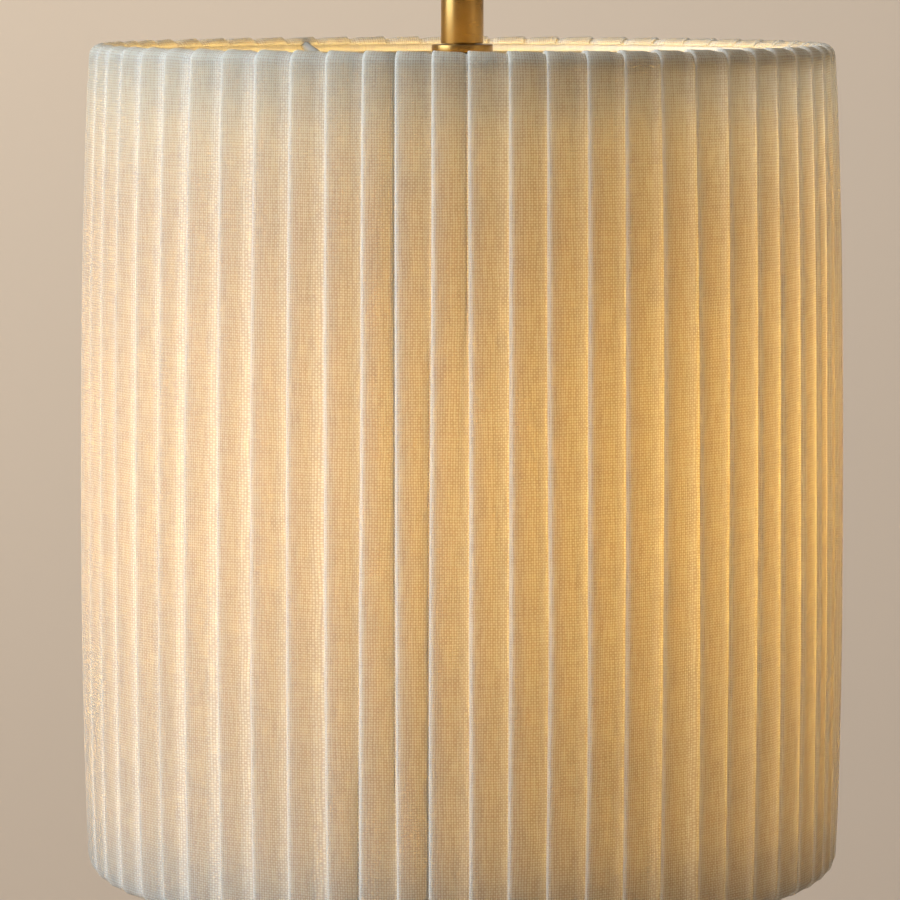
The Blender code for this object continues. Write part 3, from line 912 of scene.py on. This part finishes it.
class LAMPSHADE_OT_tapes(bpy.types.Operator):
    """Bind both rings with cotton tape"""

    bl_idname = "lampshade.tapes"
    bl_label = "Binding tapes"

    def execute(self, context):
        wrap, thickness, width = 2.2 * MM, 0.4 * MM, 10.2 * MM
        for name, binding, ring, (radius, level), side in (
            ("tape_top", "top_binding", "top_ring", TOP_RING, 1),
            ("tape_bottom", "bottom_binding", "bottom_ring", BOTTOM_RING, -1),
        ):
            path = arc((0, 0), wrap, 20, 205, 12)
            path.append(tuple(Vector(path[-1]) + Vector((0.25, -1.0)).normalized() * (0.3 * MM)))
            outline = [(radius + x, level + side * y) for x, y in path]
            builder = spun(outline, 192, closed=False)
            lay_out_tape(builder, outline, radius)
            cotton = woven(
                name.replace("_", " "),
                (0.90, 0.86, 0.78),
                (0.8, 0.6, 0.4),
                (1.0, 0.9, 0.75),
                thread=0.45 * MM,
                passes=0.15,
            )
            piece = finished(name, builder, "shade", cotton, [binding], 180)
            thicken(piece, thickness)
        return {"FINISHED"}


# --- stem and holder -----------------------------------------------------------------


class LAMPSHADE_OT_stem(bpy.types.Operator):
    """Turn the brass stem and its collar"""

    bl_idname = "lampshade.stem"
    bl_label = "Stem"

    def execute(self, context):
        colour = context.scene.lampshade_lamp.brass
        brass = metal("aged brass", colour, 0.26, grain=(120, 120, 4200))
        low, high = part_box("stem_tube")
        tube_wall = 1.2 * MM
        stem = spun(rounded(tube_corners(high.x - tube_wall, high.x, low.z, high.z), 0.3 * MM), 160)
        finished("stem", stem, "holder", brass, ["stem_tube"])
        low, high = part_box("stem_collar")
        collar = spun(rounded(tube_corners(STEM_HOLE, high.x, low.z, high.z), 0.45 * MM), 160)
        finished("collar", collar, "holder", brass, ["stem_collar"])
        return {"FINISHED"}


class LAMPSHADE_OT_holder(bpy.types.Operator):
    """Turn the lamp holder's cap, skirt and clamp ring"""

    bl_idname = "lampshade.holder"
    bl_label = "Lamp holder"

    def execute(self, context):
        colour = context.scene.lampshade_lamp.brass
        brass = metal("turned brass", colour, 0.24, grain=(90, 90, 5200))
        low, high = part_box("holder_cap")
        wall, shoulder, bead = 1.2 * MM, 9 * MM, 0.5 * MM
        centre = (high.x - shoulder, high.z - shoulder)
        outer = [(STEM_HOLE, high.z)] + arc(centre, shoulder, 90, 0, 16)
        outer += [
            (high.x, low.z + 3.2 * MM),
            (high.x - bead, low.z + 2.9 * MM),
            (high.x - bead, low.z + 2.4 * MM),
            (high.x, low.z + 2.1 * MM),
            (high.x, low.z),
        ]
        inner = [(high.x - wall, low.z)] + arc(centre, shoulder - wall, 0, 90, 12)
        inner += [(STEM_HOLE, high.z - wall)]
        finished("cap", spun(outer + inner, 128), "holder", brass, ["holder_cap"], 30)

        low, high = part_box("holder_shell")
        body, wall, flange, lip = 21 * MM, 2.0 * MM, 2.5 * MM, 0.6 * MM
        flange_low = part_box("hub_washer")[1].z + 0.3 * MM
        flange_high = flange_low + flange
        thread_low = low.z + 0.8 * MM
        outline = [(SKIRT - wall, high.z), (body, high.z), (body, flange_high)]
        outline += arc((high.x - lip, flange_high - lip), lip, 90, 0, 4)
        outline += [(high.x, flange_low), (SKIRT, flange_low)]
        outline += run((SKIRT, flange_low - 0.3 * MM), (SKIRT, thread_low), 64)
        outline += [(SKIRT - 0.4 * MM, low.z), (SKIRT - wall, low.z)]
        builder = spun(outline, 96)
        thread_high = flange_low - 0.4 * MM
        cut_thread(builder, SKIRT, thread_low, thread_high, pitch=2.5 * MM, depth=0.6 * MM)
        finished("skirt", builder, "holder", brass, ["holder_shell"], 30)

        low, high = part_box("clamp_ring")
        rim = [
            (HOLDER_HOLE, high.z),
            (high.x - 0.5 * MM, high.z),
            (high.x, high.z - 0.5 * MM),
        ]
        rim += run((high.x, high.z - 1.2 * MM), (high.x, low.z + 1.2 * MM), 6)
        rim += [
            (high.x, low.z + 1.2 * MM),
            (high.x - 0.6 * MM, low.z + 0.3 * MM),
            (high.x - 1.2 * MM, low.z),
            (HOLDER_HOLE, low.z),
        ]
        builder = spun(rim, 240)
        cut_flutes(builder, high.x, low.z, high.z, count=40, depth=0.55 * MM)
        finished("clamp", builder, "clamp", brass, ["clamp_ring"], 30)

        fibre = coated("fibre", (0.42, 0.26, 0.17), 0.8, scale=700, bump=0.05 * MM, tone=0.15)
        low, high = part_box("fibre_washer")
        washer = spun(rounded(tube_corners(HOLDER_HOLE, high.x, low.z, high.z), 0.2 * MM))
        finished("washer", washer, "washer", fibre, ["fibre_washer"])
        return {"FINISHED"}


class LAMPSHADE_OT_bulb(bpy.types.Operator):
    """Blow the opal globe and form its screw cap"""

    bl_idname = "lampshade.bulb"
    bl_label = "Bulb"

    def execute(self, context):
        lamp = context.scene.lampshade_lamp
        low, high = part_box("bulb_globe")
        cap_low, cap_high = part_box("bulb_cap")
        centre = low.z + GLOBE
        neck_in, neck, glass = 12.3 * MM, 19 * MM, 1.0 * MM
        neck_top = cap_low.z - 0.5 * MM
        outer = [(neck_in, high.z)]
        outer += run((neck_in, high.z - 1 * MM), (neck_in, neck_top), 3)
        outer += sweep_curve(
            (neck_in, neck_top),
            (neck, cap_low.z - 9 * MM),
            (neck, centre + GLOBE * math.sin(math.radians(65)) + 12 * MM),
            (GLOBE * math.cos(math.radians(65)), centre + GLOBE * math.sin(math.radians(65))),
            16,
        )
        outer += arc((0, centre), GLOBE, 63, -90, 44)
        outer[-1] = (0.0, centre - GLOBE)
        inner = []
        for radius, level in reversed(outer):
            near_bottom = level < centre - GLOBE * 0.9
            inner.append((max(radius - glass, 0.0), level + (glass if near_bottom else 0.0)))
        builder = spun(outer + inner, 96)
        s = Surface("opal glass")
        cloud = s.noise(s.object_place((25, 25, 25)), 1.0, 3.0)
        tint = s.blend(cloud, rgba(lamp.glow, 0.96), rgba(lamp.glow, 1.04))
        opal = s.finish(
            s.principled(
                Base_Color=s.blend(cloud, rgba((0.93, 0.91, 0.87)), rgba((0.97, 0.95, 0.91))),
                Roughness=0.12 + 0.1 * cloud,
                Coat_Weight=0.3,
                Emission_Color=tint,
                Emission_Strength=lamp.strength,
            )
        )
        finished("globe", builder, "bulb", opal, ["bulb_globe"], 60)

        shell, wall, hole = cap_high.x, 0.5 * MM, 8 * MM
        inside = shell - 2.2 * wall
        shoulder = cap_high.z - 4 * MM
        outline = [(hole, cap_high.z), (shell, shoulder)]
        outline += run((shell, shoulder - 0.4 * MM), (shell, cap_low.z + 0.8 * MM), 60)
        outline += [
            (shell, cap_low.z + 0.8 * MM),
            (shell, cap_low.z),
            (shell - wall, cap_low.z),
            (inside, cap_low.z + 3 * MM),
            (inside, shoulder),
            (hole, cap_high.z - wall),
        ]
        builder = spun(outline, 96)
        thread_low = cap_low.z + 3 * MM
        cut_thread(builder, shell, thread_low, shoulder, pitch=3.6 * MM, depth=0.55 * MM)
        tin = metal("nickel", (0.62, 0.60, 0.56), 0.22, grain=(80, 80, 2500))
        finished("screw_cap", builder, "bulb", tin, ["bulb_cap"], 30)
        return {"FINISHED"}


class LAMPSHADE_OT_small_parts(bpy.types.Operator):
    """Give each carried-over piece of the holder and bulb its finish"""

    bl_idname = "lampshade.small_parts"
    bl_label = "Small parts"

    def execute(self, context):
        colour = context.scene.lampshade_lamp.brass
        brass = metal("machined brass", colour, 0.3)
        bright = metal("plain brass", (0.75, 0.58, 0.28), 0.28)
        zinc = metal("zinc plate", (0.60, 0.61, 0.62), 0.34, grain=(700, 700, 700))
        bronze = metal("spring bronze", (0.70, 0.45, 0.25), 0.3, grain=(3000, 200, 200))
        glaze = coated("glazed porcelain", (0.90, 0.89, 0.86), 0.18, scale=150, tone=0.03, coat=0.5)
        plastic = coated("white plastic", (0.85, 0.85, 0.83), 0.45, tone=0.03)
        mica = coated("mica", (0.75, 0.72, 0.62), 0.35, tone=0.1)
        black = coated("black glass", (0.03, 0.03, 0.04), 0.15, tone=0.2)
        solder = metal("solder", (0.65, 0.65, 0.66), 0.4, grain=(500, 500, 500), wear=0.2)
        clear = coated("clear glass", (0.80, 0.84, 0.84), 0.05, tone=0.02, coat=0.5)
        phosphor = coated("phosphor", (0.95, 0.75, 0.30), 0.5, tone=0.05)
        finishes = {
            "stem_top_bush": brass,
            "stem_bottom_bush": brass,
            "holder_nipple": brass,
            "cap_lock_nut": zinc,
            "cap_grub_screw": zinc,
            "screw_shell": bright,
            "terminal_screw_live": bright,
            "terminal_screw_neutral": bright,
            "centre_contact": bronze,
            "porcelain_core": glaze,
            "insulating_sleeve": plastic,
            "bulb_insulator": black,
            "bulb_tip_contact": solder,
            "bulb_post": clear,
            "filament_support_upper": mica,
            "filament_support_lower": mica,
            "led_filament_1": phosphor,
            "led_filament_2": phosphor,
            "led_filament_3": phosphor,
            "led_filament_4": phosphor,
        }
        for node, material in finishes.items():
            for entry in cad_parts[node].material_slots:
                entry.material = material
        return {"FINISHED"}


# --- stage ------------------------------------------------------------------------


def area_light(name, azimuth, elevation, distance, size, power, colour, aim):
    """A soft panel; azimuth 0 is on the camera's side and positive is to its right."""
    a, e = math.radians(azimuth), math.radians(elevation)
    away = Vector((math.sin(a) * math.cos(e), -math.cos(a) * math.cos(e), math.sin(e)))
    lamp = bpy.data.lights.new(name, "AREA")
    lamp.shape = "RECTANGLE"
    lamp.size, lamp.size_y = size
    lamp.energy = power
    lamp.color = colour
    panel = bpy.data.objects.new(name, lamp)
    panel.location = aim + away * distance
    panel.rotation_euler = away.to_track_quat("Z", "Y").to_euler()
    bpy.context.scene.collection.objects.link(panel)


class LAMPSHADE_OT_stage(bpy.types.Operator):
    """Set the floor and backdrop, the lights and the camera"""

    bl_idname = "lampshade.stage"
    bl_label = "Stage"

    def execute(self, context):
        scene = context.scene
        sizes = scene.lampshade_stage
        radius, floor = sizes.room_radius, -sizes.floor_drop
        cove, wall_top = 0.8, 2.6
        outline = [(0.0, floor)] + arc((radius - cove, floor + cove), cove, -90, 0, 16)
        outline += [(radius, wall_top)]
        builder = spun(outline, 96, closed=False)
        bmesh.ops.reverse_faces(builder, faces=builder.faces)
        mesh = bpy.data.meshes.new("backdrop")
        builder.to_mesh(mesh)
        builder.free()
        mesh.shade_smooth()
        s = Surface("painted backdrop")
        cloud = s.noise(s.object_place((0.8, 0.8, 0.8)), 1.0, 3.0)
        tone = s.blend(cloud, rgba(sizes.wall, 0.98), rgba(sizes.wall, 1.02))
        mesh.materials.append(s.finish(s.principled(Base_Color=tone, Roughness=0.95)))
        backdrop = bpy.data.objects.new("backdrop", mesh)
        scene.collection.objects.link(backdrop)

        world = bpy.data.worlds.new("sky")
        world.use_nodes = True
        sky = world.node_tree.nodes["Background"].inputs
        sky["Color"].default_value = (1.0, 0.94, 0.87, 1.0)
        sky["Strength"].default_value = 0.35
        scene.world = world

        shade_middle = Vector((0, 0, (CAD_BOX[0].z + RIM_Z) / 2))
        area_light(
            "window",
            azimuth=-73,
            elevation=17,
            distance=2.4,
            size=(1.8, 2.0),
            power=102.0,
            colour=(0.68, 0.82, 1.0),
            aim=shade_middle,
        )
        area_light(
            "room",
            azimuth=60,
            elevation=15,
            distance=2.8,
            size=(1.4, 1.6),
            power=6.0,
            colour=(1.0, 0.86, 0.70),
            aim=shade_middle,
        )
        area_light(
            "backdrop_wash",
            azimuth=0,
            elevation=38,
            distance=2.6,
            size=(2.4, 1.0),
            power=45.0,
            colour=(1.0, 0.94, 0.82),
            aim=Vector((-1.1, radius, -0.75)),
        )

        lens = bpy.data.cameras.new("camera")
        lens.sensor_width = 36
        lens.lens = sizes.lens
        lens.clip_start, lens.clip_end = 0.05, 40
        camera = bpy.data.objects.new("camera", lens)
        camera.location = (0, -sizes.camera_distance, RIM_Z + sizes.camera_height)
        camera.rotation_euler = (math.pi / 2 - sizes.camera_tilt, 0, sizes.camera_turn)
        scene.collection.objects.link(camera)
        scene.camera = camera
        scene.view_settings.view_transform = "Standard"
        scene.view_settings.look = "None"
        return {"FINISHED"}


class LAMPSHADE_PT_panel(bpy.types.Panel):
    """Steps of the build, in order"""

    bl_idname = "LAMPSHADE_PT_panel"
    bl_label = "Pleated Lamp Shade"
    bl_space_type = "VIEW_3D"
    bl_region_type = "UI"
    bl_category = "Lamp Shade"

    def draw(self, context):
        for step in STEPS:
            self.layout.operator(step.bl_idname)
        for group in GROUPS:
            sizes = getattr(context.scene, group)
            box = self.layout.box()
            for name in sizes.__annotations__:
                box.prop(sizes, name)


STEPS = (
    LAMPSHADE_OT_stage,
    LAMPSHADE_OT_stem,
    LAMPSHADE_OT_holder,
    LAMPSHADE_OT_bulb,
    LAMPSHADE_OT_small_parts,
    LAMPSHADE_OT_fitter,
    LAMPSHADE_OT_tapes,
    LAMPSHADE_OT_diffuser,
    LAMPSHADE_OT_cloth,
)
GROUPS = {
    "lampshade_cloth": ClothSizes,
    "lampshade_lamp": LampSizes,
    "lampshade_stage": StageSizes,
}


def register():
    for kind in (*GROUPS.values(), *STEPS, LAMPSHADE_PT_panel):
        bpy.utils.register_class(kind)
    for name, group in GROUPS.items():
        setattr(bpy.types.Scene, name, PointerProperty(type=group))


def unregister():
    for name in GROUPS:
        delattr(bpy.types.Scene, name)
    for kind in reversed((*GROUPS.values(), *STEPS, LAMPSHADE_PT_panel)):
        bpy.utils.unregister_class(kind)


def main():
    register()
    for step in STEPS:
        family, name = step.bl_idname.split(".")
        getattr(getattr(bpy.ops, family), name)()


if __name__ == "__main__":
    main()
